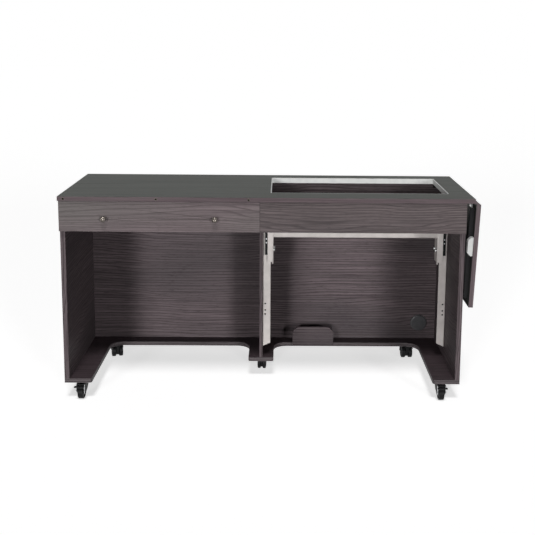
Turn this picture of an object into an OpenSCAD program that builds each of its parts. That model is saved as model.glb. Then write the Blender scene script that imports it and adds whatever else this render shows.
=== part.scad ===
// Sewing cabinet on casters with a machine lift, a drawer and a drop leaf.
// X runs from the drawer end to the leaf end, Y from front to back, Z up from the floor.
// The origin is on the floor under the middle of the whole cabinet.

/* [Overall] */
// Height of the table surface above the floor
table_h = 763; // [755:1:790]
// Width over the outer faces of the side panels
carcass_w = 1450; // [1350:1:1550]
// Depth of the side panels
carcass_d = 496; // [470:1:540]
// Thickness of the slab, apron, back, bottom board and leaf
board_t = 16; // [15:1:18]
// Thickness of the side panels
side_t = 18; // [16:1:22]
// Overhang of the slab past the left side panel
over_left = 2; // [1:1:10]
// Overhang of the slab past the right side panel, where the leaf hangs
over_right = 28; // [28:1:34]
// Overhang of the slab past the apron
over_front = 8; // [4:1:20]
// Overhang of the slab past the back panel
over_back = 18; // [16:1:30]

/* [Carcass] */
// Distance from the left panel's outer face to the divider
divider_x = 707; // [660:1:730]
// Thickness of the centre divider
divider_t = 12; // [12:1:18]
// Depth by which the divider stands back below the apron
divider_recess = 240; // [200:1:244]
// Height of the apron below the slab
apron_h = 111; // [105:1:125]
// Width of each lobe of the bottom board
lobe_w = 98; // [90:1:120]
// Depth from the front of the side panels to the rear strip
strip_y = 420; // [400:1:430]
// Radius where a lobe runs into the rear strip
lobe_fillet = 55; // [30:1:70]
// Radius of the free front corners of the lobes
lobe_corner = 10; // [4:1:14]
// Width of the pedal stop board
stop_w = 166; // [120:2:200]
// Height of the pedal stop board
stop_h = 75; // [60:1:90]
// Radius of the upper corners of the pedal stop board
stop_r = 29; // [15:1:36]
// Distance from the divider to the pedal stop board
stop_in = 120; // [60:5:160]
// Distance from the right side panel to the middle of the cable grommet
grommet_in = 68; // [50:1:120]

/* [Drawer] */
// Height of the drawer box
drawer_h = 80; // [60:1:85]
// Depth of the drawer box
drawer_d = 400; // [350:5:420]
// Thickness of the drawer box walls
drawer_t = 12; // [10:1:14]
// Projection of a knob from the drawer front
knob_l = 24; // [18:1:30]
// Radius of a knob's head
knob_r = 10; // [9:0.5:14]
// Distance between the two knobs
knob_pitch = 394; // [320:2:440]

/* [Machine lift] */
// Clear edge from a bay wall to the machine opening
op_margin = 31; // [31:1:36]
// Distance from the front of the side panels to the machine opening
op_front = 83; // [70:1:100]
// Depth of the machine opening
op_d = 357; // [350:1:372]
// Height of the trim that lines the opening
trim_h = 20; // [19:1:24]
// Depth of the platform surface below the slab surface at rest
platform_drop = 120; // [115:1:122]
// Distance from the front of the side panels to the uprights
upright_y = 250; // [246:1:262]
// Width of an upright seen from the front
upright_w = 30; // [28:1:31]
// Travel of the lift below the rest height
lift_down = 150; // [130:1:150]

/* [Drop leaf] */
// Height of the hanging leaf
leaf_h = 377; // [350:1:400]
// Inward lean of the hanging leaf in degrees
leaf_lean = 2.3; // [1.8:0.1:2.5]
// Distance from the hinge axis down to the brace pivot
brace_drop = 140; // [130:1:150]
// Length of a brace between its pivot and its end pin
brace_l = 200; // [190:1:205]

/* [Casters] */
// Height of the bottom board above the floor
caster_h = 66; // [66:1:72]
// Distance from the left side panel to the king pin of the front caster beside it
front_in_left = 59; // [50:1:68]
// Distance from the right side panel to the king pin of the front caster beside it
front_in_right = 66; // [50:1:68]
// Distance from the left side panel to the king pin of the rear caster beside it
rear_in_left = 114; // [100:1:160]
// Distance from the right side panel to the king pin of the rear caster beside it
rear_in_right = 132; // [100:1:160]
// Radius of a caster wheel
wheel_r = 25; // [24:0.5:25]
// Offset of the wheel axle from the king pin
trail = 22; // [20:1:23]

/* [Hidden] */
$fn = 48;

laminate = "#6e666a";
laminate_top = "#636463";
inner_board = "#4c4648";
lift_paint = "#dcd8d2";
dark_plastic = "#242424";
bracket_steel = "#1d1d1e";
bright_metal = "#c9c7c4";
white_plastic = "#e3e6e8";

// Hinge of the leaf: its axis lies just below the slab, in the joint between slab and leaf.
hinge_gap = 1;
hinge_drop = 3.2;
leaf_out = hinge_gap / 2 + (hinge_drop + board_t) * cos(leaf_lean) - hinge_gap / 2 * sin(leaf_lean);

// Planes across the cabinet
total_w = over_left + carcass_w + over_right + leaf_out;
slab_x0 = -total_w / 2;
slab_x1 = slab_x0 + over_left + carcass_w + over_right;
carc_x0 = slab_x0 + over_left;
carc_x1 = carc_x0 + carcass_w;
div_x0 = carc_x0 + divider_x;
div_x1 = div_x0 + divider_t;
bay_x1 = carc_x1 - side_t;
apron_split = (div_x0 + div_x1) / 2;

// Planes from front to back
total_d = knob_l + board_t + carcass_d + over_back;
front_y = -total_d / 2 + knob_l + board_t;
back_y = front_y + carcass_d;
back_in = back_y - board_t;
slab_y0 = front_y - board_t - over_front;
slab_y1 = back_y + over_back;

// Planes from the floor up
floor_top = caster_h + board_t;
slab_z0 = table_h - board_t;
apron_z0 = slab_z0 - apron_h;
reveal = 2;
front_gap = 0.8;

// Machine opening, trim and lift
op_x0 = div_x1 + op_margin;
op_x1 = bay_x1 - op_margin;
op_y0 = front_y + op_front;
op_y1 = op_y0 + op_d;
trim_t = 3;
steel_t = 2.5;
bend_r = 4;
upright_d = 42;
upright_y0 = front_y + upright_y;
upright_z0 = floor_top + 42;
slant = 14;
lift_up = platform_drop;
platform_z1 = table_h - platform_drop;
platform_z0 = platform_z1 - board_t;
carriage_x = upright_w + 8.5;
carriage_h = 154;
carriage_z1 = platform_z0 - 7;
carriage_z0 = carriage_z1 - carriage_h;
carriage_reach = 12;
carriage_d = 60;
flange_x = 18.5;
nib_h = 7;
run_gap = 0.3;
spring_x = 10.5;
spring_r = 7.5;
rod_r = 3;
lug_z0 = carriage_z1 - 8;
lug_t = 4;
foot_z = upright_z0 + 18;
cylinder_z0 = foot_z + 8;
cylinder_z1 = lug_z0 - lift_down - 7;
piston_h = 6;
rod_z0 = cylinder_z1 - 8 - piston_h - 4 - lift_up;

// Leaf and brackets
hinge_x = slab_x1 + hinge_gap / 2;
hinge_z = slab_z0 - hinge_drop;
leaf_mid_y = (slab_y0 + slab_y1) / 2;
hinge_inset = 90;
hinge_ys = [slab_y0 + hinge_inset, leaf_mid_y, slab_y1 - hinge_inset];
hinge_l = 50;
knuckle_r = 2.8;
pin_r = 1.5;
flap_t = 1.2;
flap_w = 26;
bracket_ys = [front_y + 16, 2 * leaf_mid_y - front_y - 16];
plate_t = 3;
pivot_dx = carc_x1 + plate_t + 6.5 - hinge_x;
brace_w = 10;
brace_t = 8.4;
channel_t = 2;
channel_in = 16;
channel_depth = 14;
pin_line = hinge_drop - channel_t - 1 - brace_w / 2;
// Angle of the brace from straight down, at which its end pin meets the pin line of the leaf
brace_rest = brace_angle(leaf_lean);
block_u = 155;
block_l = 68;
block_t = 19;
block_w = 24;

// Casters
front_in_y = 40;
rear_in_y = 38;
centre_y = 321;
caster_pos = [
  [carc_x0 + front_in_left, front_y + front_in_y],
  [carc_x1 - front_in_right, front_y + front_in_y],
  [carc_x0 + rear_in_left, back_y - rear_in_y],
  [carc_x1 - rear_in_right, back_y - rear_in_y],
  [apron_split, front_y + centre_y]
];
caster_turn = [-4, 2, 196, 184, 174];
plate_w = 42;
caster_plate_t = 2.5;
race_r = 16;
king_r = 3.5;
web_t = 12;
wheel_w = 15.4;
centre_web_t = 8;
centre_wheel_w = 11;
wheel_gap = 0.6;
axle_r = 3;
hood_r = wheel_r + 4;
brake_y = -trail - 24;
brake_z = wheel_r + 29;

// Angle of the brace from straight down at which its end pin lies on the leaf's pin line.
// lean is the leaf's inward angle, so a level leaf has a lean of minus 90.
function brace_angle(lean) =
  asin((pin_line - pivot_dx * cos(lean) - brace_drop * sin(lean)) / brace_l) - lean;

module box(x0, x1, y0, y1, z0, z1) {
  translate([x0, y0, z0])
    cube([x1 - x0, y1 - y0, z1 - z0]);
}

module rod_x(r, x0, x1, y, z) {
  translate([x0, y, z])
    rotate([0, 90, 0])
      cylinder(r = r, h = x1 - x0);
}

module rod_y(r, y0, y1, x, z) {
  translate([x, y1, z])
    rotate([90, 0, 0])
      cylinder(r = r, h = y1 - y0);
}

module rod_z(r, z0, z1, x = 0, y = 0) {
  translate([x, y, z0])
    cylinder(r = r, h = z1 - z0);
}

// Section of a bent sheet angle: legs of w along X and d along Y, outer bend of radius r at the origin
module sheet_angle(w, d, t, r) {
  difference() {
    union() {
      translate([r, 0])
        square([w - r, t]);
      translate([0, r])
        square([t, d - r]);
      intersection() {
        translate([r, r])
          circle(r = r);
        square([r, r]);
      }
    }
    translate([r, r])
      circle(r = r - t);
  }
}

// Section of a bent sheet channel that opens along X, with its web on the Y axis
module sheet_channel(w_front, w_back, d, t, r) {
  sheet_angle(w_front, d / 2, t, r);
  translate([0, d])
    mirror([0, 1])
      sheet_angle(w_back, d / 2, t, r);
}

// Screw head that stands on z = 0, with a six-sided socket
module screw_head(r, h) {
  difference() {
    cylinder(r = r, h = h);
    translate([0, 0, h / 2])
      cylinder(r = r / 2, h = h, $fn = 6);
  }
}

// Draws its children on the left of the machine bay, from the divider's face.
module lift_left() {
  translate([div_x1, upright_y0, 0])
    children();
}

// The same on the right, mirrored from the right side panel's face.
module lift_right() {
  translate([bay_x1, upright_y0, 0])
    mirror([1, 0, 0])
      children();
}

// Places a child drawn for a leaf that hangs plumb from the hinge axis.
module on_leaf() {
  translate([hinge_x, 0, hinge_z])
    rotate([0, leaf_lean, 0])
      children();
}

insert_pitch = 327;
insert_first = 19.5;
insert_r = 5;
insert_bore_r = 3;
insert_l = 15;
function insert_x(i) = carc_x0 + insert_first + i * insert_pitch;

// A row of rods for the edge inserts, each longer than the last by step
module insert_rods(r, y0, l, step = 0) {
  for (i = [0 : 2])
    rod_y(r, y0, y0 + l + i * step, insert_x(i), table_h - board_t / 2);
}

module top_slab() {
  color(laminate_top)
    difference() {
      box(slab_x0, slab_x1, slab_y0, slab_y1, slab_z0, table_h);
      box(op_x0, op_x1, op_y0, op_y1, slab_z0 - 1, table_h + 1);
      insert_rods(insert_r, slab_y0 - 1, insert_l + 1, step = 1);
      at_slab_hinges() flap_shanks();
    }
}

module edge_inserts() {
  color(bright_metal)
    difference() {
      insert_rods(insert_r, slab_y0, insert_l);
      insert_rods(insert_bore_r, slab_y0 - 1, insert_l - 1);
    }
}

module opening_trim() {
  color(white_plastic)
    difference() {
      box(op_x0, op_x1, op_y0, op_y1, table_h - trim_h, table_h);
      box(op_x0 + trim_t, op_x1 - trim_t, op_y0 + trim_t, op_y1 - trim_t,
          table_h - trim_h - 1, table_h + 1);
    }
}

module left_side_panel() {
  color(laminate)
    difference() {
      box(carc_x0, carc_x0 + side_t, front_y, back_y, floor_top, slab_z0);
      carcass_screw_set(pilot = true);
    }
}

module right_side_panel() {
  color(laminate)
    difference() {
      box(bay_x1, carc_x1, front_y, back_y, floor_top, slab_z0);
      carcass_screw_set(pilot = true);
      lift_right() upright_screw_set(pilot = true);
      bracket_shanks();
    }
}

// The divider reaches the front only behind the apron, where it carries a drawer runner.
divider_arm_z = apron_z0 + 9;

module centre_divider() {
  color(laminate)
    difference() {
      union() {
        box(div_x0, div_x1, front_y + divider_recess, back_in, floor_top, slab_z0);
        box(div_x0, div_x1, front_y, back_in, divider_arm_z, slab_z0);
      }
      carcass_screw_set(pilot = true);
      lift_left() upright_screw_set(pilot = true);
    }
}

grommet_x = bay_x1 - grommet_in;
grommet_z = 150;
grommet_r = 30;
flange_r = 34;
sleeve_t = 3;
cap_gap = 0.3;
cap_t = 4;

module back_panel() {
  color(inner_board)
    difference() {
      box(carc_x0 + side_t, bay_x1, back_in, back_y, floor_top, slab_z0);
      rod_y(grommet_r, back_in - 1, back_y + 1, grommet_x, grommet_z);
    }
}

module cable_grommet() {
  color(dark_plastic)
    difference() {
      union() {
        rod_y(flange_r, back_in - sleeve_t, back_in, grommet_x, grommet_z);
        rod_y(grommet_r, back_in - sleeve_t, back_y + 2, grommet_x, grommet_z);
      }
      rod_y(grommet_r - sleeve_t, back_in - sleeve_t - 1, back_y + 3, grommet_x, grommet_z);
    }
}

// The cap is a shallow cup with a rounded rim, and its skirt turns in the sleeve.
cap_rim_r = 2.5;

module grommet_cap() {
  cap_r = flange_r - 1.5;
  skirt_r = grommet_r - sleeve_t - cap_gap;
  color(dark_plastic)
    translate([grommet_x, back_in - sleeve_t - cap_gap, grommet_z])
      rotate([90, 0, 0])
        rotate_extrude() {
          square([cap_r - cap_rim_r, cap_t]);
          square([cap_r, cap_t - cap_rim_r]);
          translate([cap_r - cap_rim_r, cap_t - cap_rim_r])
            intersection() {
              circle(r = cap_rim_r);
              square(cap_rim_r);
            }
          translate([skirt_r - 2.5, -12])
            square([2.5, 13]);
        }
}

// Plan of a rectangle from y = 0 to y = d with both front corners rounded to r
module rounded_front(w, d, r) {
  translate([0, r])
    square([w, d - r]);
  translate([r, 0])
    square([w - 2 * r, r + 1]);
  for (x = [r, w - r])
    translate([x, r])
      circle(r = r);
}

// Plan of the corner that a fillet of radius r fills, with its square corner at the origin
module fillet_corner(r) {
  difference() {
    translate([0, -r])
      square([r, r]);
    translate([r, -r])
      circle(r = r);
  }
}

module lobe_fillets(x0, x1) {
  translate([x1, strip_y])
    fillet_corner(lobe_fillet);
  translate([x0, strip_y])
    mirror([1, 0])
      fillet_corner(lobe_fillet);
}

module board_plan() {
  centre_x0 = apron_split - carc_x0 - lobe_w / 2;
  translate([0, strip_y])
    square([carcass_w, carcass_d - strip_y]);
  rounded_front(lobe_w, strip_y + 1, lobe_corner);
  translate([carcass_w - lobe_w, 0])
    rounded_front(lobe_w, strip_y + 1, lobe_corner);
  square([lobe_w / 2, strip_y]);
  translate([carcass_w - lobe_w / 2, 0])
    square([lobe_w / 2, strip_y]);
  translate([centre_x0, divider_recess - 3])
    rounded_front(lobe_w, strip_y - divider_recess + 4, lobe_corner);
  intersection() {
    square([carcass_w, carcass_d]);
    union() {
      lobe_fillets(0, lobe_w);
      lobe_fillets(centre_x0, centre_x0 + lobe_w);
      lobe_fillets(carcass_w - lobe_w, carcass_w);
    }
  }
}

module bottom_board() {
  color(laminate)
    difference() {
      translate([carc_x0, front_y, caster_h])
        linear_extrude(height = board_t)
          board_plan();
      carcass_screw_set(pilot = true);
      caster_screw_set(pilot = true);
    }
}

module right_fascia() {
  color(laminate)
    box(apron_split + front_gap / 2, carc_x1, front_y - board_t, front_y, apron_z0, slab_z0 - reveal);
}

// Small upright board screwed to the front edge of the rear strip
stop_x = div_x1 + stop_in;
stop_z0 = caster_h + 10;

module pedal_stop_board() {
  color(laminate)
    translate([stop_x, front_y + strip_y, stop_z0])
      rotate([90, 0, 0])
        linear_extrude(height = board_t)
          translate([0, stop_h])
            mirror([0, 1])
              rounded_front(stop_w, stop_h, stop_r);
}

// Three-cornered plastic blocks join the slab to the back panel.
block_s = 26;
block_skin = 3;
corner_xs = [carc_x0 + side_t, div_x0 - block_s, div_x1, bay_x1 - block_s];

module slab_corner_blocks() {
  color(dark_plastic)
    for (x = corner_xs)
      translate([x, back_in, slab_z0])
        rotate([0, 90, 0])
          linear_extrude(height = block_s)
            polygon([
              [0, 0], [block_s, 0], [block_s, -block_skin], [block_skin, -block_s], [0, -block_s]
            ]);
}

// Confirmat screws come up through the bottom board into the upright boards.
carcass_screw_l = 50;
carcass_screw_r = 3.5;
carcass_head_r = 5;
carcass_head_t = 4;
carcass_screw_in = 90;
divider_screw_front = 40;
divider_screw_back = 50;

module carcass_screw(pilot) {
  rod_z(carcass_screw_r, caster_h, caster_h + carcass_screw_l);
  translate([0, 0, pilot ? caster_h - 1 : caster_h])
    cylinder(r = carcass_head_r, h = pilot ? carcass_head_t + 1 : carcass_head_t);
}

module carcass_screw_set(pilot = false) {
  for (x = [carc_x0 + side_t / 2, carc_x1 - side_t / 2],
       y = [front_y + carcass_screw_in, back_y - carcass_screw_in])
    translate([x, y, 0])
      carcass_screw(pilot);
  for (y = [divider_recess + divider_screw_front, carcass_d - divider_screw_back])
    translate([apron_split, front_y + y, 0])
      carcass_screw(pilot);
}

module carcass_screws() {
  color(bright_metal)
    carcass_screw_set();
}

// The drawer front lies flush with the fascia and stands off the panels by a small gap.
drawer_gap = 1;
runner_t = 12.7;
bay_l0 = carc_x0 + side_t;
box_x0 = bay_l0 + runner_t;
box_x1 = div_x0 - runner_t;
box_z0 = apron_z0 + 14;
box_z1 = box_z0 + drawer_h;
groove_d = 6;
groove_t = 4;
groove_z = 10;
drawer_y1 = front_y + drawer_d;
knob_up = 48;
knob_z = apron_z0 + knob_up;
knob_mid = (carc_x0 + apron_split) / 2;
knob_xs = [knob_mid - knob_pitch / 2, knob_mid + knob_pitch / 2];
stud_r = 2;

module drawer_groove() {
  box(box_x0 + drawer_t - groove_d, box_x1 - drawer_t + groove_d, front_y + drawer_t - groove_d,
      drawer_y1 - drawer_t + groove_d, box_z0 + groove_z, box_z0 + groove_z + groove_t);
}

module knob_studs() {
  for (x = knob_xs)
    rod_y(stud_r, front_y - board_t, front_y + drawer_t, x, knob_z);
}

module drawer_front() {
  color(laminate)
    difference() {
      box(carc_x0, apron_split - front_gap / 2, front_y - board_t, front_y - drawer_gap,
          apron_z0, slab_z0 - reveal);
      knob_studs();
    }
}

module drawer_inner_front() {
  color(inner_board)
    difference() {
      box(box_x0 + drawer_t, box_x1 - drawer_t, front_y - drawer_gap, front_y + drawer_t, box_z0, box_z1);
      drawer_groove();
      knob_studs();
    }
}

module drawer_side(x0) {
  color(inner_board)
    difference() {
      box(x0, x0 + drawer_t, front_y - drawer_gap, drawer_y1, box_z0, box_z1);
      drawer_groove();
    }
}

module drawer_left_side() {
  drawer_side(box_x0);
}

module drawer_right_side() {
  drawer_side(box_x1 - drawer_t);
}

module drawer_back() {
  color(inner_board)
    difference() {
      box(box_x0 + drawer_t, box_x1 - drawer_t, drawer_y1 - drawer_t, drawer_y1, box_z0, box_z1);
      drawer_groove();
    }
}

module drawer_bottom() {
  color(inner_board)
    drawer_groove();
}

// Knob: a foot, a hollow waist and a domed head with a groove round its centre button
knob_foot_r = 8;
knob_waist_r = 5;
knob_head_t = 9;
knob_dome_h = 5;
knob_dome_r = (knob_r * knob_r + knob_dome_h * knob_dome_h) / (2 * knob_dome_h);
groove_r = 1.1;

module knob_profile() {
  waist_h = knob_l - knob_head_t;
  curve_r = waist_h / 2;
  difference() {
    union() {
      difference() {
        square([knob_foot_r, knob_l - knob_head_t + 1]);
        translate([knob_waist_r + curve_r, curve_r + 1])
          circle(r = curve_r);
      }
      intersection() {
        translate([0, knob_l - knob_dome_r])
          circle(r = knob_dome_r);
        translate([0, knob_l - knob_head_t])
          square([knob_r, knob_head_t]);
      }
    }
    translate([-knob_dome_r, 0])
      square([knob_dome_r, knob_l + 1]);
    translate([knob_r / 2, knob_l - 0.4])
      circle(r = groove_r);
  }
}

module knob() {
  rotate([90, 0, 0])
    rotate_extrude()
      knob_profile();
}

module drawer_knobs() {
  color(bright_metal) {
    for (x = knob_xs)
      translate([x, front_y - board_t, knob_z])
        knob();
    knob_studs();
  }
}

// Runners: a channel on the cabinet and a narrower channel on the drawer that slides in it
runner_h = 36;
runner_z = (box_z0 + box_z1) / 2;
sheet_t = 1.2;
slide_gap = 0.05;
slide_h = runner_h - 2 * sheet_t - 2 * slide_gap;
runner_d = 9;
slide_x = 3;

module fixed_runner() {
  difference() {
    box(0, runner_d, front_y + 4, drawer_y1 + 4, runner_z - runner_h / 2, runner_z + runner_h / 2);
    box(sheet_t, runner_d + 1, front_y + 3, drawer_y1 + 5,
        runner_z - runner_h / 2 + sheet_t, runner_z + runner_h / 2 - sheet_t);
  }
}

module sliding_runner() {
  difference() {
    box(slide_x, runner_t, front_y + 4, drawer_y1, runner_z - slide_h / 2, runner_z + slide_h / 2);
    box(slide_x - 1, runner_t - sheet_t, front_y + 3, drawer_y1 + 1,
        runner_z - slide_h / 2 + sheet_t, runner_z + slide_h / 2 - sheet_t);
  }
}

module both_drawer_sides() {
  translate([bay_l0, 0, 0])
    children();
  translate([div_x0, 0, 0])
    mirror([1, 0, 0])
      children();
}

module drawer_fixed_runners() {
  color(bright_metal)
    both_drawer_sides() fixed_runner();
}

module drawer_sliding_runners() {
  color(bright_metal)
    both_drawer_sides() sliding_runner();
}

// An upright is a channel that opens towards the machine bay; its lower end is cut slanting.
upright_hole_x = 10;
upright_hole_zs = [172, 146, 130];
upright_hole_r = 3.5;
upright_l = slab_z0 - upright_z0;
upright_screw_in = 60;
upright_screw_zs = [upright_screw_in, upright_l / 2, upright_l - upright_screw_in];
mount_screw_r = 2.5;

module upright() {
  color(lift_paint)
    difference() {
      union() {
        translate([0, 0, upright_z0])
          linear_extrude(height = upright_l)
            sheet_channel(upright_w, upright_w - 8, upright_d, steel_t, bend_r);
        box(steel_t / 2, upright_w - 9, steel_t / 2, upright_d - steel_t / 2, foot_z, foot_z + lug_t);
      }
      translate([0, -1, upright_z0])
        rotate([0, -atan(slant / upright_w), 0])
          translate([-upright_w, 0, -upright_w])
            cube([3 * upright_w, upright_d + 2, upright_w]);
      for (z = upright_hole_zs)
        rod_y(upright_hole_r, -1, steel_t + 1, upright_hole_x, upright_z0 + z);
      rod_z(rod_r, foot_z - 1, foot_z + lug_t + 1, spring_x, upright_d / 2);
      upright_screw_set(pilot = true);
    }
}

module left_lift_upright() {
  lift_left() upright();
}

module right_lift_upright() {
  lift_right() upright();
}

// Screws through an upright's web into the board behind it, beside the gas spring
upright_screw_l = 10;

module upright_screw_set(pilot = false) {
  for (z = upright_screw_zs) {
    rod_x(mount_screw_r, -upright_screw_l, steel_t, upright_d - 9, upright_z0 + z);
    if (!pilot)
      translate([steel_t, upright_d - 9, upright_z0 + z])
        rotate([0, 90, 0])
          screw_head(4, 2);
  }
}

module lift_upright_screws() {
  color(bright_metal) {
    lift_left() upright_screw_set();
    lift_right() upright_screw_set();
  }
}

// A carriage: a bent plate with a front flange, a lug for the gas spring, and the arm on which
// the platform rests. The arm grows deeper from its two ends towards the plate.
arm_w = 25;
arm_y0 = op_y0 + 12 - upright_y0;
arm_y1 = op_y1 - 13 - upright_y0;
arm_d = 16;
arm_end_d = 7;
arm_z0 = platform_z0 - arm_d;
lug_y0 = 8;
carriage_pin_ys = [0, 36];
carriage_pin_up = 47;
carriage_pin_z = carriage_z0 + carriage_pin_up;
carriage_pin_r = 3;
carriage_head_r = 5.5;
carriage_head_h = 5.5;
carriage_y1 = carriage_d - carriage_reach;
nib_w = 16;
nib_t = 5;

// Side view of the plate, with a nib at its lower front corner and a rounded lower rear corner
module carriage_side() {
  corner_r = 14;
  difference() {
    translate([-carriage_reach, carriage_z0 - nib_h])
      square([carriage_d, carriage_z1 - carriage_z0 + nib_h]);
    translate([nib_w - carriage_reach, carriage_z0 - nib_h - 1])
      square([carriage_d, nib_h + 1]);
    translate([carriage_y1 - corner_r, carriage_z0 + corner_r])
      mirror([0, 1])
        difference() {
          square(corner_r + 1);
          circle(r = corner_r);
        }
  }
}

// Side view of the arm
module arm_side() {
  polygon([
    [arm_y0, platform_z0], [arm_y0, platform_z0 - arm_end_d],
    [-carriage_reach, arm_z0], [carriage_y1, arm_z0],
    [arm_y1, platform_z0 - arm_end_d], [arm_y1, platform_z0]
  ]);
}

// Extrudes a side view, drawn with Y to the right and Z up, over all of the lift's width
module across_lift() {
  rotate([90, 0, 90])
    linear_extrude(height = carriage_x + arm_w + 10)
      children();
}

module carriage() {
  x1 = carriage_x + steel_t;
  color(lift_paint)
    difference() {
      union() {
        intersection() {
          translate([x1, -carriage_reach, carriage_z0 - nib_h])
            mirror([1, 0])
              linear_extrude(height = carriage_z1 - carriage_z0 + nib_h)
                sheet_angle(x1 - flange_x, carriage_d, steel_t, bend_r);
          across_lift() carriage_side();
        }
        box(6, carriage_x + 1, lug_y0, upright_d - lug_y0, lug_z0, lug_z0 + lug_t);
        intersection() {
          translate([x1, arm_y1, platform_z0])
            rotate([90, 0, 0])
              linear_extrude(height = arm_y1 - arm_y0)
                mirror([0, 1])
                  sheet_angle(arm_w, arm_d, steel_t, bend_r);
          across_lift() arm_side();
        }
        box(x1 - 1, x1 + steel_t / 2, -carriage_reach + bend_r, carriage_y1, arm_z0, carriage_z1);
      }
      rod_z(rod_r, lug_z0 - 1, lug_z0 + lug_t + 1, spring_x, upright_d / 2);
      box(flange_x - 1, x1 - nib_t, -carriage_reach - 1, nib_w, carriage_z0 - nib_h - 1, carriage_z0);
      carriage_pins();
    }
}

module left_lift_carriage() {
  lift_left() carriage();
}

module right_lift_carriage() {
  lift_right() carriage();
}

module carriage_pins() {
  for (y = carriage_pin_ys)
    rod_x(carriage_pin_r, carriage_x - 8, carriage_x + steel_t, y, carriage_pin_z);
}

module shoe_pins() {
  for (z = shoe_screw_zs)
    rod_y(shoe_screw_r, -carriage_reach, -carriage_reach + 8, (shoe_x + flange_x) / 2, z);
}

// Screw heads on the bay side of each carriage, whose shanks hold the guide shoes, and two small
// screws in the front of each shoe
module lift_carriage_screws() {
  module screws() {
    carriage_pins();
    shoe_pins();
    for (z = shoe_screw_zs)
      translate([(shoe_x + flange_x) / 2, -carriage_reach, z])
        rotate([90, 0, 0])
          screw_head(2.6, 1.4);
    for (y = carriage_pin_ys)
      translate([carriage_x + steel_t, y, carriage_pin_z])
        rotate([0, 90, 0])
          screw_head(carriage_head_r, carriage_head_h);
  }
  color(bright_metal) {
    lift_left() screws();
    lift_right() screws();
  }
}

// Black shoes: one runs on the front flange of the upright, one inside its channel. The front one
// is chamfered where it would meet the bend of the carriage.
shoe_x = 8.5;
shoe_z0 = carriage_z0 + 28;
shoe_z1 = carriage_z1 - 20;
shoe_screw_up = 76;
shoe_screw_pitch = 15;
shoe_screw_zs = [carriage_z0 + shoe_screw_up, carriage_z0 + shoe_screw_up + shoe_screw_pitch];
shoe_chamfer = bend_r - steel_t + 0.5;
shoe_screw_r = 1.5;
inner_x = spring_x + spring_r + 1.5;
inner_h = 40;

module guide_shoes() {
  shoe_y1 = -run_gap;
  difference() {
    union() {
      box(shoe_x, flange_x, -carriage_reach, shoe_y1, shoe_z0, shoe_z1);
      translate([flange_x, steel_t - carriage_reach, shoe_z0])
        linear_extrude(height = shoe_z1 - shoe_z0)
          polygon([
            [0, 0], [carriage_x - flange_x - shoe_chamfer, 0], [carriage_x - flange_x, shoe_chamfer],
            [carriage_x - flange_x, shoe_y1 - steel_t + carriage_reach],
            [0, shoe_y1 - steel_t + carriage_reach]
          ]);
      box(carriage_x - 6, carriage_x, shoe_y1 - 1, upright_d / 2, carriage_pin_z - inner_h / 2,
          carriage_pin_z + inner_h / 2);
      box(inner_x, carriage_x, steel_t + run_gap, upright_d - steel_t - run_gap,
          carriage_pin_z - inner_h / 2, carriage_pin_z + inner_h / 2);
    }
    carriage_pins();
    shoe_pins();
  }
}

module lift_guide_shoes() {
  color(dark_plastic) {
    lift_left() guide_shoes();
    lift_right() guide_shoes();
  }
}

// Angle bar that ties the two carriages together across the bay
bar_h = 30;
bar_d = 28;
bar_z0 = carriage_z1 - bar_h - 28;

module lift_cross_bar() {
  x0 = div_x1 + carriage_x + steel_t;
  x1 = bay_x1 - carriage_x - steel_t;
  color(lift_paint)
    translate([x0, upright_y0 - carriage_reach + steel_t, bar_z0])
      rotate([90, 0, 90])
        linear_extrude(height = x1 - x0)
          sheet_angle(bar_d, bar_h, steel_t, bend_r);
}

platform_gap = 7;
platform_r = 12;

module rounded_plate(w, d, r) {
  translate([r, 0])
    square([w - 2 * r, d]);
  translate([0, r])
    square([w, d - 2 * r]);
  for (x = [r, w - r], y = [r, d - r])
    translate([x, y])
      circle(r = r);
}

module lift_platform() {
  x0 = div_x1 + carriage_x + 2 * steel_t + 1;
  x1 = bay_x1 - carriage_x - 2 * steel_t - 1;
  y0 = op_y0 + trim_t + platform_gap;
  y1 = op_y1 - trim_t - platform_gap;
  color(white_plastic)
    translate([x0, y0, platform_z0])
      linear_extrude(height = board_t)
        rounded_plate(x1 - x0, y1 - y0, platform_r);
}

// Gas springs stand in the uprights; the rods hang from the carriage lugs.
module gas_spring_cylinder() {
  translate([spring_x, upright_d / 2, 0]) {
    difference() {
      rod_z(spring_r, cylinder_z0, cylinder_z1);
      rod_z(spring_r - 1.5, cylinder_z0 + 4, cylinder_z1 - 8);
      rod_z(rod_r + 0.1, cylinder_z1 - 9, cylinder_z1 + 1);
    }
    rod_z(rod_r, foot_z, cylinder_z0);
    rod_z(5, foot_z + lug_t, cylinder_z0);
  }
}

module gas_spring_rod() {
  translate([spring_x, upright_d / 2, 0]) {
    rod_z(rod_r, rod_z0, lug_z0 + lug_t);
    rod_z(spring_r - 1.7, rod_z0, rod_z0 + piston_h);
    rod_z(5, lug_z0 - 4, lug_z0);
  }
}

module gas_spring_cylinders() {
  color(dark_plastic) {
    lift_left() gas_spring_cylinder();
    lift_right() gas_spring_cylinder();
  }
}

module gas_spring_rods() {
  color(bright_metal) {
    lift_left() gas_spring_rod();
    lift_right() gas_spring_rod();
  }
}

module drop_leaf() {
  color(laminate)
    difference() {
      on_leaf()
        box(hinge_drop, hinge_drop + board_t, slab_y0, slab_y1, -hinge_gap / 2 - leaf_h, -hinge_gap / 2);
      at_leaf_hinges() flap_shanks();
    }
}

// A hinge has five knuckles: the slab's flap has the outer two and the middle one.
knuckle_l = hinge_l / 5;
flap_edge = knuckle_r + 0.6;
flap_screw_r = 1.75;
flap_head_r = 3;
flap_screw_l = 12;

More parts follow.
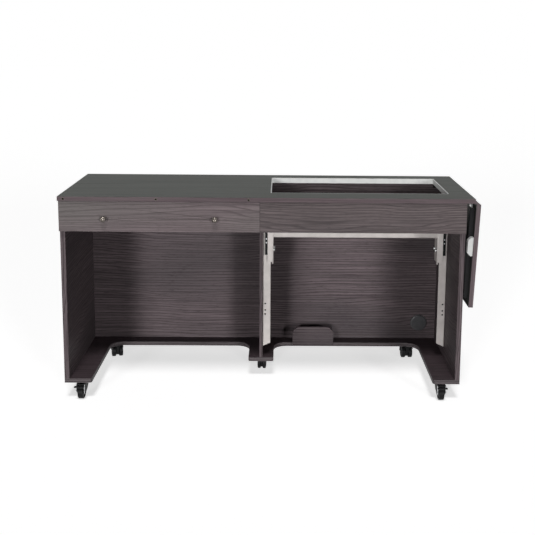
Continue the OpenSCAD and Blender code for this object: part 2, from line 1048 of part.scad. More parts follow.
module knuckles(first, bore) {
  for (i = [first : 2 : 4])
    difference() {
      rod_y(knuckle_r, i * knuckle_l + 0.15, (i + 1) * knuckle_l - 0.15, 0, 0);
      rod_y(bore, i * knuckle_l - 1, (i + 1) * knuckle_l + 1, 0, 0);
    }
}

// The flap is drawn on the slab's side; its tabs reach the knuckles that it carries.
module hinge_flap(first, bore) {
  z1 = hinge_drop;
  difference() {
    union() {
      box(-flap_w, -flap_edge, 0, hinge_l, z1 - flap_t, z1);
      for (i = [first : 2 : 4])
        box(-flap_edge - 1, 0, i * knuckle_l + 0.15, (i + 1) * knuckle_l - 0.15, z1 - flap_t,
            z1 - flap_t + 0.7);
    }
    rod_y(bore, -1, hinge_l + 1, 0, 0);
    flap_holes(-1, hinge_drop + 1, flap_screw_r);
  }
  knuckles(first, bore);
}

module flap_holes(z0, z1, r) {
  for (y = [10, hinge_l - 10])
    rod_z(r, z0, z1, -flap_w / 2 - 3, y);
}

module at_hinges() {
  for (y = hinge_ys)
    translate([0, y - hinge_l / 2, 0])
      children();
}

module at_slab_hinges() {
  translate([hinge_x, 0, hinge_z])
    at_hinges()
      children();
}

// The leaf's side of a hinge is the slab's side with height and width exchanged.
module at_leaf_hinges() {
  on_leaf()
    at_hinges()
      mirror([1, 0, -1])
        children();
}

module flap_shanks() {
  flap_holes(hinge_drop - flap_t, hinge_drop + flap_screw_l, flap_screw_r);
}

module flap_screws() {
  flap_shanks();
  flap_holes(hinge_drop - flap_t - 1.2, hinge_drop - flap_t, flap_head_r);
}

module hinge_slab_flaps() {
  color(bright_metal)
    at_slab_hinges() hinge_flap(0, pin_r);
}

module hinge_leaf_flaps() {
  color(bright_metal)
    at_leaf_hinges() hinge_flap(1, pin_r + 0.05);
}

module hinge_slab_screws() {
  color(bright_metal)
    at_slab_hinges() flap_screws();
}

module hinge_leaf_screws() {
  color(bright_metal)
    at_leaf_hinges() flap_screws();
}

module hinge_pins() {
  color(bright_metal)
    for (y = hinge_ys)
      rod_y(pin_r, y - hinge_l / 2, y + hinge_l / 2, hinge_x, hinge_z);
}

// Folding brackets: a plate with a clevis on the side panel, and a brace that folds into a
// channel under the leaf.
ear_t = 2.5;
ear_y = brace_t / 2 + run_gap;
ear_r = 6.5;
pivot_r = 2.5;
pivot_x = hinge_x + pivot_dx;
pivot_z = hinge_z - brace_drop;

module at_brackets() {
  for (y = bracket_ys)
    translate([0, y, 0])
      children();
}

module bracket_wall_plates() {
  color(bracket_steel)
    at_brackets()
      difference() {
        union() {
          box(carc_x1, carc_x1 + plate_t, -12, 12, pivot_z - 30, hinge_z - 10);
          for (y0 = [-ear_y - ear_t, ear_y]) {
            box(carc_x1 + plate_t - 1, pivot_x, y0, y0 + ear_t, pivot_z - ear_r, pivot_z + ear_r);
            rod_y(ear_r, y0, y0 + ear_t, pivot_x, pivot_z);
          }
        }
        rod_y(pivot_r, -ear_y - ear_t - 1, ear_y + ear_t + 1, pivot_x, pivot_z);
        for (z = bracket_screw_zs)
          rod_x(bracket_screw_r, carc_x1 - 1, carc_x1 + plate_t + 1, 0, z);
      }
}

// Screws hold each wall plate to the side panel, above its clevis and below it.
bracket_screw_down = 20;
bracket_screw_up = 30;
bracket_screw_pitch = 70;
bracket_screw_zs = [
  pivot_z - bracket_screw_down, pivot_z + bracket_screw_up,
  pivot_z + bracket_screw_up + bracket_screw_pitch
];
bracket_screw_r = 2;
bracket_screw_l = 14;

module bracket_shanks() {
  at_brackets()
    for (z = bracket_screw_zs)
      rod_x(bracket_screw_r, carc_x1 - bracket_screw_l, carc_x1 + plate_t, 0, z);
}

module bracket_screws() {
  color(bright_metal) {
    bracket_shanks();
    at_brackets()
      for (z = bracket_screw_zs)
        translate([carc_x1 + plate_t, 0, z])
          rotate([0, 90, 0])
            screw_head(3.5, 1);
  }
}

module bracket_pivot_pins() {
  color(bright_metal)
    at_brackets()
      rod_y(pivot_r, -ear_y - ear_t - 0.3, ear_y + ear_t + 0.3, pivot_x, pivot_z);
}

module bracket_braces() {
  color(bracket_steel)
    at_brackets()
      translate([pivot_x, 0, pivot_z])
        rotate([0, -brace_rest, 0])
          difference() {
            union() {
              box(-brace_w / 2, brace_w / 2, -brace_t / 2, brace_t / 2, -brace_l, 0);
              rod_y(brace_w / 2, -brace_t / 2, brace_t / 2, 0, 0);
              rod_y(brace_w / 2, -brace_t / 2, brace_t / 2, 0, -brace_l);
              rod_y(pivot_r, -ear_y - ear_t, ear_y + ear_t, 0, -brace_l);
            }
            rod_y(pivot_r + 0.05, -brace_t, brace_t, 0, 0);
          }
}

module bracket_channels() {
  half_w = channel_in / 2 + channel_t;
  z0 = -brace_drop - brace_l - 12;
  z1 = -20;
  color(bracket_steel)
    on_leaf()
      at_brackets()
        difference() {
          box(hinge_drop - channel_depth, hinge_drop, -half_w, half_w, z0, z1);
          box(hinge_drop - channel_depth - 1, hinge_drop - channel_t,
              -channel_in / 2, channel_in / 2, z0 - 1, z1 + 1);
        }
}

// White blocks on the inner face of the leaf, chamfered where they face the cabinet
block_chamfer = 11;

module leaf_stop_blocks() {
  x0 = hinge_drop - block_t;
  z0 = -block_u - block_l / 2;
  z1 = -block_u + block_l / 2;
  outline = [
    [hinge_drop, z0], [x0 + block_chamfer, z0], [x0, z0 + block_chamfer],
    [x0, z1 - block_chamfer], [x0 + block_chamfer, z1], [hinge_drop, z1]
  ];
  color(white_plastic)
    on_leaf()
      for (y = [slab_y0 + 4, slab_y1 - 4 - block_w])
        translate([0, y + block_w, 0])
          rotate([90, 0, 0])
            linear_extrude(height = block_w)
              polygon(outline);
}

// Casters: a fixed plate with king pin, a housing that swivels on it and a wheel pair
plate_z0 = caster_h - caster_plate_t;
race_z0 = plate_z0 - 2.3;
king_z0 = wheel_r + 19;
hub_z0 = wheel_r + 22.5;
hub_r = 9;
caster_screw_pitch = 30;
caster_screw_r = 2;

module at_caster(i) {
  translate([caster_pos[i][0], caster_pos[i][1], 0])
    children();
}

module caster_screw_set(pilot = false) {
  for (i = [0 : 4], sx = [-1, 1], sy = [-1, 1])
    at_caster(i)
      translate([sx * caster_screw_pitch / 2, sy * caster_screw_pitch / 2, 0]) {
        rod_z(caster_screw_r, plate_z0, caster_h + 12);
        if (!pilot)
          rod_z(3.5, plate_z0 - 1.2, plate_z0);
      }
}

module caster_plates() {
  color(bracket_steel)
    difference() {
      for (i = [0 : 4])
        at_caster(i) {
          box(-plate_w / 2, plate_w / 2, -plate_w / 2, plate_w / 2, plate_z0, caster_h);
          rod_z(race_r, race_z0, plate_z0);
          rod_z(king_r, king_z0, race_z0);
        }
      caster_screw_set(pilot = true);
    }
}

module caster_screws() {
  color(bright_metal)
    caster_screw_set();
}

module turned_caster(i) {
  at_caster(i)
    rotate([0, 0, caster_turn[i]])
      children();
}

// Hood over both wheels: a shell round the axle, cut on the slant so that it reaches lower behind
hood_slant = 24;

// The centre caster is narrower than the two at the rear.
function web_of(i) = i == 4 ? centre_web_t : web_t;
function wheel_w_of(i) = i == 4 ? centre_wheel_w : wheel_w;

module caster_hood(i) {
  half_w = web_of(i) / 2 + wheel_gap + wheel_w_of(i) + 1;
  translate([-half_w, -trail, wheel_r])
    rotate([90, 0, 90])
      linear_extrude(height = 2 * half_w)
        difference() {
          circle(r = hood_r);
          circle(r = wheel_r + 1);
          rotate(hood_slant)
            translate([-2 * hood_r, -2 * hood_r])
              square([4 * hood_r, 2 * hood_r + 6]);
        }
}

// Twin casters have a web between the wheels, the hood and a hub for the king pin.
module twin_body(i) {
  half_web = web_of(i) / 2;
  caster_hood(i);
  rod_x(wheel_r - 6, -half_web, half_web, -trail, wheel_r);
  box(-half_web, half_web, -trail - 8, king_r + 3.5, wheel_r + 5, hub_z0 + 1);
}

// The front casters have a fork: a broad body with a leg on each side of the wheel. It is its
// front view cut out of its side view, less the room for the wheel.
fork_half = 16.5;
fork_in = 11;
leg_t = 2.5;
leg_z0 = 16;
fork_step_z = wheel_r + 9;
fork_chamfer = 1.5;

module fork_body() {
  leg_x = fork_in + leg_t;
  body_z1 = race_z0 - 1;
  difference() {
    intersection() {
      translate([0, hub_r, 0])
        rotate([90, 0, 0])
          linear_extrude(height = trail + hood_r + hub_r)
            polygon([
              [-leg_x, leg_z0], [leg_x, leg_z0], [fork_half, fork_step_z],
              [fork_half, body_z1 - fork_chamfer], [fork_half - fork_chamfer, body_z1],
              [fork_chamfer - fork_half, body_z1], [-fork_half, body_z1 - fork_chamfer],
              [-fork_half, fork_step_z]
            ]);
      translate([-fork_half, 0, 0])
        rotate([90, 0, 90])
          linear_extrude(height = 2 * fork_half) {
            translate([-trail, wheel_r])
              circle(r = wheel_r - leg_z0);
            polygon([
              [leg_z0 - wheel_r - trail, wheel_r], [-trail - 20, fork_step_z],
              [-trail - 18, body_z1], [hub_r, body_z1], [hub_r, king_z0],
              [wheel_r - leg_z0 - trail, wheel_r]
            ]);
          }
    }
    rod_x(wheel_r + 1, -fork_in, fork_in, -trail, wheel_r);
  }
}

// The two front casters have a fork and a brake, the others a web and a hood.
module caster_housing(i) {
  front = i < 2;
  color(dark_plastic)
    turned_caster(i)
      difference() {
        union() {
          if (front) {
            fork_body();
            brake_ears();
          } else
            twin_body(i);
          rod_z(hub_r, hub_z0, race_z0 - 2);
          rod_z(race_r, race_z0 - 2.5, race_z0 - run_gap);
        }
        rod_z(king_r + 0.1, king_z0 - 0.5, race_z0 + 1);
        rod_x(axle_r + 0.05, -hood_r, hood_r, -trail, wheel_r);
        if (front)
          rod_x(journal_r + 0.05, -lever_w, lever_w, brake_y, brake_z);
      }
}

lever_w = 12.4;
lever_l = 13;
pedal_w = 36;
journal_r = 1.5;

module brake_ears() {
  for (x0 = [-lever_w / 2 - 0.3 - ear_t, lever_w / 2 + 0.3]) {
    rod_x(3.5, x0, x0 + ear_t, brake_y, brake_z);
    box(x0, x0 + ear_t, brake_y, brake_y + 8, brake_z - 3.5, brake_z + 3.5);
  }
}

// Half section of a wheel of width w, with its inner face on the X axis: a rounded tread, a hub
// boss and a dished outer face, or two dished faces
tread_r = 3;
dish_d = 3;
rim_t = 4.5;
boss_r = 7;

module wheel_section(w, both = false) {
  difference() {
    union() {
      square([wheel_r - tread_r, w]);
      translate([0, tread_r])
        square([wheel_r, w - 2 * tread_r]);
      for (y = [tread_r, w - tread_r])
        translate([wheel_r - tread_r, y])
          circle(r = tread_r);
    }
    translate([boss_r, w - dish_d])
      square([wheel_r - rim_t - boss_r, dish_d + 1]);
    if (both)
      translate([boss_r, -1])
        square([wheel_r - rim_t - boss_r, dish_d + 1]);
    translate([-wheel_r, -1])
      square([wheel_r, w + 2]);
  }
}

module on_axle(x) {
  translate([x, -trail, wheel_r])
    rotate([0, 90, 0])
      children();
}

module twin_wheels(i) {
  x0 = web_of(i) / 2 + wheel_gap;
  color(dark_plastic)
    turned_caster(i) {
      rod_x(axle_r, -x0 - 1, x0 + 1, -trail, wheel_r);
      for (s = [0, 1])
        mirror([s, 0, 0])
          on_axle(x0)
            rotate_extrude()
              wheel_section(wheel_w_of(i));
    }
}

fork_wheel_w = 20;

module fork_wheel(i) {
  color(dark_plastic)
    turned_caster(i) {
      rod_x(axle_r, -fork_in - leg_t, fork_in + leg_t, -trail, wheel_r);
      on_axle(-fork_wheel_w / 2)
        rotate_extrude()
          wheel_section(fork_wheel_w, both = true);
    }
}

// A brake is a lever on a journal between the ears, with a pedal across its end.
module caster_brake(i) {
  color(dark_plastic)
    turned_caster(i) {
      rod_x(2.4, -lever_w / 2, lever_w / 2, brake_y, brake_z);
      rod_x(journal_r, -lever_w / 2 - ear_t, lever_w / 2 + ear_t, brake_y, brake_z);
      box(-lever_w / 2, lever_w / 2, brake_y - lever_l, brake_y, brake_z - 0.5, brake_z + 2.4);
      box(-pedal_w / 2, pedal_w / 2, brake_y - lever_l, brake_y - 5, brake_z - 1.2, brake_z + 3.2);
      rod_x(2.2, -pedal_w / 2, pedal_w / 2, brake_y - lever_l, brake_z + 1);
    }
}

module caster_housing_front_left() { caster_housing(0); }
module caster_housing_front_right() { caster_housing(1); }
module caster_housing_rear_left() { caster_housing(2); }
module caster_housing_rear_right() { caster_housing(3); }
module caster_housing_centre() { caster_housing(4); }
module caster_wheel_front_left() { fork_wheel(0); }
module caster_wheel_front_right() { fork_wheel(1); }
module caster_wheels_rear_left() { twin_wheels(2); }
module caster_wheels_rear_right() { twin_wheels(3); }
module caster_wheel_centre() { twin_wheels(4); }
module caster_brake_front_left() { caster_brake(0); }
module caster_brake_front_right() { caster_brake(1); }

top_slab();
edge_inserts();
opening_trim();
left_side_panel();
right_side_panel();
centre_divider();
back_panel();
bottom_board();
right_fascia();
pedal_stop_board();
slab_corner_blocks();
carcass_screws();
cable_grommet();
grommet_cap();
drawer_front();
drawer_inner_front();
drawer_left_side();
drawer_right_side();
drawer_back();
drawer_bottom();
drawer_knobs();
drawer_fixed_runners();
drawer_sliding_runners();
left_lift_upright();
right_lift_upright();
lift_upright_screws();
left_lift_carriage();
right_lift_carriage();
lift_guide_shoes();
lift_carriage_screws();
lift_cross_bar();
lift_platform();
gas_spring_cylinders();
gas_spring_rods();
drop_leaf();
hinge_slab_flaps();
hinge_leaf_flaps();
hinge_slab_screws();
hinge_leaf_screws();
hinge_pins();
bracket_wall_plates();
bracket_channels();
bracket_braces();
bracket_pivot_pins();
bracket_screws();
leaf_stop_blocks();
caster_plates();
caster_screws();
caster_housing_front_left();
caster_housing_front_right();
caster_housing_rear_left();
caster_housing_rear_right();
caster_housing_centre();
caster_wheel_front_left();
caster_wheel_front_right();
caster_wheels_rear_left();
caster_wheels_rear_right();
caster_wheel_centre();
caster_brake_front_left();
caster_brake_front_right();
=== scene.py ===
"""Looks of the sewing cabinet: finishes, bright fork edges, floor, lamps and camera.

The solids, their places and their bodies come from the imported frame. Lengths are metres, and
millimetres where a name or comment says so.
"""
import math

import bpy
import numpy as np
from mathutils import Matrix, Vector


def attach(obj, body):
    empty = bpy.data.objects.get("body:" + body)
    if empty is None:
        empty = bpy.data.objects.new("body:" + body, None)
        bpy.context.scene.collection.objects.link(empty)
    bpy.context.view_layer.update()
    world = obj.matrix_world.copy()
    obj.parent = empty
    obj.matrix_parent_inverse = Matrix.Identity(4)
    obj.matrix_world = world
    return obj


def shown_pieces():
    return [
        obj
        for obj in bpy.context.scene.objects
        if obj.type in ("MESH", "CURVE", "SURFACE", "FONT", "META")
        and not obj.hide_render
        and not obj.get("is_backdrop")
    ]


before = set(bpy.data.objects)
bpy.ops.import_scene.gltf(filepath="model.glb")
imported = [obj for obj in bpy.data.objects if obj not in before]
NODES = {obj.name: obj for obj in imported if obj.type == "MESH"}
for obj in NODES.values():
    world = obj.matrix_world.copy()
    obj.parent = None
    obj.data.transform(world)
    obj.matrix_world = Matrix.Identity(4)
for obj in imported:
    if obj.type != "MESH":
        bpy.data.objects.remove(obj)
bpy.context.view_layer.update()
MM = 0.001

MATH = "ShaderNodeMath"
VECTOR_MATH = "ShaderNodeVectorMath"
MIX = "ShaderNodeMix"
RAMP = "ShaderNodeValToRGB"
COORDINATES = "ShaderNodeTexCoord"
SPLIT = "ShaderNodeSeparateXYZ"
JOIN = "ShaderNodeCombineXYZ"


def linear(hex_colour):
    """Turns an sRGB hex colour into the linear colour that Blender expects."""
    values = [int(hex_colour[i:i + 2], 16) / 255 for i in (1, 3, 5)]
    rgb = [v / 12.92 if v <= 0.04045 else ((v + 0.055) / 1.055) ** 2.4 for v in values]
    return (*rgb, 1.0)


def grey(value):
    """A linear grey that carries a number."""
    return (value, value, value, 1.0)


def add_node(tree, kind, inputs=None, stops=(), **settings):
    """Adds a node, sets its properties, fills its inputs with values or links, and gives a colour
    ramp its stops, each a position with a colour or a number. Returns the node's outputs."""
    node = tree.nodes.new(kind)
    for key, value in settings.items():
        setattr(node, key, value)
    for key, value in (inputs or {}).items():
        if isinstance(value, bpy.types.NodeSocket):
            tree.links.new(value, node.inputs[key])
        else:
            node.inputs[key].default_value = value
    while stops and len(node.color_ramp.elements) < len(stops):
        node.color_ramp.elements.new(0.5)
    for index, (position, colour) in enumerate(stops):
        element = node.color_ramp.elements[index]
        element.position = position
        element.color = colour if isinstance(colour, tuple) else grey(colour)
    return node.outputs


def new_material(name):
    """An empty node material and its tree."""
    material = bpy.data.materials.new(name)
    material.use_nodes = True
    material.node_tree.nodes.clear()
    return material, material.node_tree


def close_material(tree, height, strength, depth_mm, inputs):
    """Ends a material: the relief from the height field, then the shader with its inputs."""
    relief = {"Height": height, "Strength": strength, "Distance": depth_mm * MM}
    inputs["Normal"] = add_node(tree, "ShaderNodeBump", relief)[0]
    shader = add_node(tree, "ShaderNodeBsdfPrincipled", inputs)[0]
    add_node(tree, "ShaderNodeOutputMaterial", {"Surface": shader})


def cell_noise(tree, place, cell_mm, detail, roughness=0.5):
    """Soft noise around 0.5, whose cells are cell_mm long on the first axis of place and wide on
    the other two."""
    along, across = (1 / (size * MM) for size in cell_mm)
    scaled = {0: place, 1: (along, across, across)}
    scaled = add_node(tree, VECTOR_MATH, scaled, operation="MULTIPLY")[0]
    return add_node(tree, "ShaderNodeTexNoise", {
        "Vector": scaled, "Scale": 1.0, "Detail": detail, "Roughness": roughness})[0]


# A face belongs to an axis where its normal has more than this share along it, which is 45 degrees
ON_AXIS = 0.7


def board_coordinates(tree, grain, face, offset):
    """Coordinates in metres turned so that the first axis runs along the grain and the second
    across it on the board's face. On the edges of the board, where the face would show cut
    fibres, the edge band's grain runs along the edge instead, so there the axes are exchanged.
    Returns them moved by offset, a value that is 1 on the edge bands and 0 on the two faces, and
    the normal's share along the board's thickness."""
    number = {"x": 0, "y": 1, "z": 2}
    grain, face = number[grain], number[face]
    side = 3 - grain - face
    source = add_node(tree, COORDINATES)
    parts = add_node(tree, SPLIT, {0: source["Object"]})
    normal = add_node(tree, SPLIT, {0: source["Normal"]})
    along, across, deep = parts[grain], parts[side], parts[face]
    on_edges = []
    place = add_node(tree, JOIN, {0: along, 1: across, 2: deep})[0]
    for axis, turned in ((side, {0: along, 1: deep, 2: across}),
                         (grain, {0: across, 1: deep, 2: along})):
        share = add_node(tree, MATH, {0: normal[axis]}, operation="ABSOLUTE")[0]
        on_edge = add_node(tree, MATH, {0: share, 1: ON_AXIS}, operation="GREATER_THAN")[0]
        turned = add_node(tree, JOIN, turned)[0]
        place = add_node(tree, MIX, {0: on_edge, 4: place, 5: turned}, data_type="VECTOR")[1]
        on_edges.append(on_edge)
    place = add_node(tree, VECTOR_MATH, {0: place, 1: offset}, operation="ADD")[0]
    on_edge = add_node(tree, MATH, {0: on_edges[0], 1: on_edges[1]}, operation="MAXIMUM")[0]
    return place, on_edge, normal[face]


# Parts of the print, in millimetres along and across the grain. Fibres and pores of real ash are
# under a millimetre wide; these are as coarse as they need to be to show from 3.5 metres away.
PATCH_MM = (700, 260)   # livelier and cooler parts of the sheet
BEND_MM = (1100, 74)    # slow bends that close the lines to arches
SWAY_MM = (520, 12)     # the lines' small unevenness
FIBRE_MM = (520, 4.4)   # lighter and darker fibres
FINE_MM = (110, 1.1)    # fine fibres, which can also be felt
PORE_MM = (30, 1.1)     # short dark pores
LINE_MM = 11            # from one dark line to the next, where they run straight
BEND_LINES = 7.0        # how many lines the bends shift the figure by at most
SWAY_LINES = 0.8        # the same for the small unevenness
FIBRE_SHARE, FINE_SHARE = 0.9, 0.3   # of the two fibres in the ground's tone
LINE_GAIN, LINE_CUT = 1.3, -0.1      # by which the fibres break the dark lines
PORE_STRENGTH = 0.6     # of the pores, in tone and in depth
RELIEF_MM = 0.12        # depth of the pressed grain
PRESSED, GRAINED = 0.35, 0.4   # strengths of the relief on boards and on coated surfaces
BOARD_DULL, COAT_DULL = 0.18, 0.16   # how far roughness varies on each
# Stops of the print's ramps. The fibres' values that are wholly dark and wholly light:
FIBRE_STOPS = (0.49, 0.73)
# A dark line across its width: it rises slowly and ends sharply, as late wood does
LINE_STOPS = ((0.0, 0.0), (0.6, 0.05), (0.82, 0.9), (0.9, 1.0), (1.0, 0.0))
# How far the bends reach, and how cool the ground is, from the calm to the lively patches
REACH_STOPS = ((0.42, 0.25), (0.6, 1.0))
COOL_STOPS = ((0.5, 0.0), (0.72, 0.75))
RESIN_IOR = 1.5         # melamine, paints and moulded plastics lie between 1.49 and 1.54


def wood_laminate(name, grain, face, tones, seed, arch=1.0, calm=0.0, rough=0.42, gloss=0.25,
                  underside_painted_shade=1.0):
    """Printed wood-grain film on board, with a pressed melamine surface. The figure is the level
    lines of a height field that rises across the board and is bent by long soft noise, so the
    lines run straight for most of the length and here and there close to long pointed arches.
    Fibres and pores are stretched noise. tones are the light, dark, line and cool colours and
    the light and dark colours of the edge bands; seed is the place on the roll; arch strengthens
    the bends; calm, from 0 to 1, weakens the figure; and the last argument is how light the face
    towards the negative axis is painted beside that on the other, a painted shade for a face that
    hangs in shade."""
    light, dark, line, cool, band_light, band_dark = (linear(tone) for tone in tones)
    material, tree = new_material(name)
    place, on_edge, facing = board_coordinates(tree, grain, face, seed)
    patch = cell_noise(tree, place, PATCH_MM, detail=1.0)
    bend = cell_noise(tree, place, BEND_MM, detail=1.0, roughness=0.35)
    sway = cell_noise(tree, place, SWAY_MM, detail=2.0)
    fibre = cell_noise(tree, place, FIBRE_MM, detail=4.0, roughness=0.7)
    fine = cell_noise(tree, place, FINE_MM, detail=3.0, roughness=0.6)
    pore = cell_noise(tree, place, PORE_MM, detail=1.0)

    # The height field, and a dark line where it passes each whole number
    reach = add_node(tree, RAMP, {0: patch}, REACH_STOPS)[0]
    reach = add_node(tree, MATH, {0: reach, 1: BEND_LINES * arch}, operation="MULTIPLY")[0]
    across = add_node(tree, SPLIT, {0: place})[1]
    field = add_node(tree, MATH, {0: across, 1: 1 / (LINE_MM * MM)}, operation="MULTIPLY")[0]
    field = add_node(tree, MATH, {0: bend, 1: reach, 2: field}, operation="MULTIPLY_ADD")[0]
    field = add_node(tree, MATH, {0: sway, 1: SWAY_LINES, 2: field}, operation="MULTIPLY_ADD")[0]
    lines = add_node(tree, MATH, {0: field}, operation="FRACT")[0]
    lines = add_node(tree, RAMP, {0: lines}, LINE_STOPS)[0]

    # The ground: fibres on the faces and in the edge bands, and the patches' cooler tone
    tone = add_node(tree, MATH, {0: fine, 1: FINE_SHARE}, operation="MULTIPLY")[0]
    tone = add_node(tree, MATH, {0: fibre, 1: FIBRE_SHARE, 2: tone}, operation="MULTIPLY_ADD")[0]
    base = add_node(tree, RAMP, {0: tone}, list(zip(FIBRE_STOPS, (dark, light))))[0]
    band = add_node(tree, RAMP, {0: tone}, list(zip(FIBRE_STOPS, (band_dark, band_light))))[0]
    cooler = add_node(tree, RAMP, {0: patch}, COOL_STOPS)[0]
    base = add_node(tree, MIX, {0: cooler, 6: base, 7: cool}, data_type="RGBA")[2]
    # Painted shade: where the last argument is below 1, the face towards the negative axis is
    # darkened as a whole
    if underside_painted_shade != 1:
        under = add_node(tree, MATH, {0: facing, 1: -ON_AXIS}, operation="LESS_THAN")[0]
        base = add_node(tree, MIX, {0: under, 6: base, 7: grey(underside_painted_shade)}, data_type="RGBA",
                        blend_type="MULTIPLY")[2]
    base = add_node(tree, MIX, {0: on_edge, 6: base, 7: band}, data_type="RGBA")[2]

    # The dark lines, broken by the fibres, and the pores
    streak = {0: fibre, 1: LINE_GAIN, 2: LINE_CUT}
    streak = add_node(tree, MATH, streak, operation="MULTIPLY_ADD")[0]
    streak = add_node(tree, MATH, {0: lines, 1: streak}, operation="MULTIPLY")[0]
    streak = add_node(tree, MATH, {0: streak, 1: 1 - calm}, operation="MULTIPLY")[0]
    base = add_node(tree, MIX, {0: streak, 6: base, 7: line}, data_type="RGBA")[2]
    pore_stops = [(0.6, 0.0), (0.7, PORE_STRENGTH * (1 - calm))]
    pores = add_node(tree, RAMP, {0: pore}, pore_stops)[0]
    base = add_node(tree, MIX, {0: pores, 6: base, 7: line}, data_type="RGBA")[2]

    height = {0: pores, 1: -PORE_STRENGTH, 2: fine}
    height = add_node(tree, MATH, height, operation="MULTIPLY_ADD")[0]
    dull = {0: fine, 1: BOARD_DULL, 2: rough - BOARD_DULL / 2}
    dull = add_node(tree, MATH, dull, operation="MULTIPLY_ADD")[0]
    close_material(tree, height, PRESSED, RELIEF_MM, {
        "Base Color": base, "Roughness": dull, "IOR": RESIN_IOR, "Specular IOR Level": gloss})
    return material


CLOUD = 30


def coated(name, colour, shade, rough, grain_mm, relief_mm, metallic=0.0, gloss=0.5):
    """A surface of two close tones with a fine relief: paint, moulded plastic or plated steel.
    The relief's grain is grain_mm wide, too fine to show from afar, so the tones lie in clouds
    CLOUD times as wide."""
    material, tree = new_material(name)
    place = add_node(tree, COORDINATES)["Object"]
    cloud_mm = grain_mm * CLOUD
    cloud = cell_noise(tree, place, (cloud_mm, cloud_mm), detail=3.0, roughness=0.55)
    grain = cell_noise(tree, place, (grain_mm, grain_mm), detail=3.0, roughness=0.55)
    tone = add_node(tree, RAMP, {0: cloud}, [(0.35, linear(shade)), (0.62, linear(colour))])[0]
    dull = {0: grain, 1: COAT_DULL, 2: rough - COAT_DULL / 2}
    dull = add_node(tree, MATH, dull, operation="MULTIPLY_ADD")[0]
    inputs = {"Base Color": tone, "Roughness": dull, "Metallic": metallic,
              "Specular IOR Level": gloss}
    if not metallic:
        inputs["IOR"] = RESIN_IOR
    close_material(tree, grain, GRAINED, relief_mm, inputs)
    return material


# Tones of the print: light, dark, line, cool, and the edge bands' light and dark
BROWN = ("#7b6f71", "#5a4f52", "#352c2d", "#65615f", "#786d6f", "#574d50")
DEEP = ("#6e6364", "#484041", "#282223", "#423d3e", "#6b6063", "#4c4447")
# The print's tones darkened as painted shade, for the boards that stand back in the bays and in
# the drawer
PRINT_IN_PAINTED_SHADE = ("#6c6164", "#474042", "#241f20", "#454042", "#74696c", "#524a4d")
# The print's tones darkened the most, as painted shade for the bottom board under the table; its
# edge bands keep a lighter tone
PRINT_IN_DEEPEST_PAINTED_SHADE = ("#5f5357", "#40373a", "#221c1e", "#3e393a", "#736b6d", "#534e50")
GREY = ("#6b6d6a", "#565855", "#3e403d", "#5f615e", "#73676a", "#5b4f53")

# Charcoal ash print, satin: brown-grey, cooler at the left, with thin dark lines and a few arches
APRON = wood_laminate("printed_ash_laminate_apron", "x", "y", BROWN, (0.8, 1.7, 0.2), calm=0.2)
# The same print from another part of the roll, with a darker middle and a livelier figure
FASCIA = wood_laminate("printed_ash_laminate_fascia", "x", "y", DEEP, (5.5, 2.7, 0.2))
# The same print on the upright boards, its tones darkened as painted shade of the bays, and nearly
# matt
SIDES = wood_laminate("printed_ash_laminate_sides", "y", "x", PRINT_IN_PAINTED_SHADE, (2.3, 0.9, 0.1), arch=0.7,
                      gloss=0.03)
# The bottom board, its tones darkened the most as painted shade under the table, with lighter edge
# bands along its curved front
FLOOR_BOARD = wood_laminate("printed_ash_laminate_bottom", "x", "z", PRINT_IN_DEEPEST_PAINTED_SHADE, (1.1, 0.4, 0.6),
                            arch=0.6, gloss=0.03)
# The back of the bays, nearly matt: straight fine lines with gentle waves, in the same tones
# darkened as painted shade
BACK = wood_laminate("printed_ash_laminate_back", "x", "y", PRINT_IN_PAINTED_SHADE, (4.1, 3.2, 0.4), arch=0.5,
                     gloss=0.03)
# The table surface, matt: greyer and calmer than the rest, with brown edge bands
TABLE = wood_laminate("printed_ash_laminate_table", "x", "z", GREY, (1.9, 0.8, 0.3), arch=0.5,
                      calm=0.6, rough=0.6, gloss=0.03)
# The drop leaf matches the table when it is up; its underside, which faces the side panel while
# the leaf hangs, is painted darker as a whole: a painted shade of the narrow gap beside the panel
LEAF = wood_laminate("printed_ash_laminate_leaf", "z", "x", GREY, (0.7, 2.1, 0.5), arch=0.5,
                     calm=0.6, rough=0.6, gloss=0.06, underside_painted_shade=0.22)
# The drawer's box, cut from the same board as the upright boards and in the same tones darkened as
# painted shade, satin inside
DRAWER_BOARD = wood_laminate("printed_ash_laminate_drawer", "y", "z", PRINT_IN_PAINTED_SHADE, (0.2, 0.6, 1.4),
                             arch=0.5)
# Powder-coated steel of the lift: warm off-white with a faint orange peel
LIFT_PAINT = coated("powder_coated_steel_cream", "#dad3d0", "#cfc8c5", 0.42, 1.2, 0.05)
# Melamine-faced board of the lift's platform: an even soft white
MELAMINE = coated("melamine_faced_board_white", "#dddbd6", "#d3d1cc", 0.5, 0.8, 0.02)
# Moulded ABS of the trim and the leaf's stops: a cool smooth white with a soft highlight
WHITE_PLASTIC = coated("moulded_abs_white", "#d3d4d2", "#cbcccb", 0.36, 0.7, 0.02, gloss=0.3)
# Moulded nylon of the guide shoes, corner blocks, caster forks and pedals: dull and nearly black
NYLON = coated("moulded_nylon_black", "#141415", "#0e0e0f", 0.55, 0.6, 0.03, gloss=0.15)
# Moulded nylon of the caster wheels: a touch darker and smoother from rolling
WHEEL = coated("moulded_nylon_wheel_black", "#121214", "#0c0c0d", 0.5, 0.6, 0.02, gloss=0.15)
# Moulded ABS of the cable grommet: charcoal, with enough sheen to show its rounded rim
GROMMET = coated("moulded_abs_charcoal", "#434345", "#3b3b3d", 0.3, 0.6, 0.02)
# Lacquered steel of the folding brackets, springs and caster plates: black with a soft sheen
BLACK_STEEL = coated("lacquered_steel_black", "#18181a", "#121213", 0.42, 0.9, 0.03, gloss=0.25)
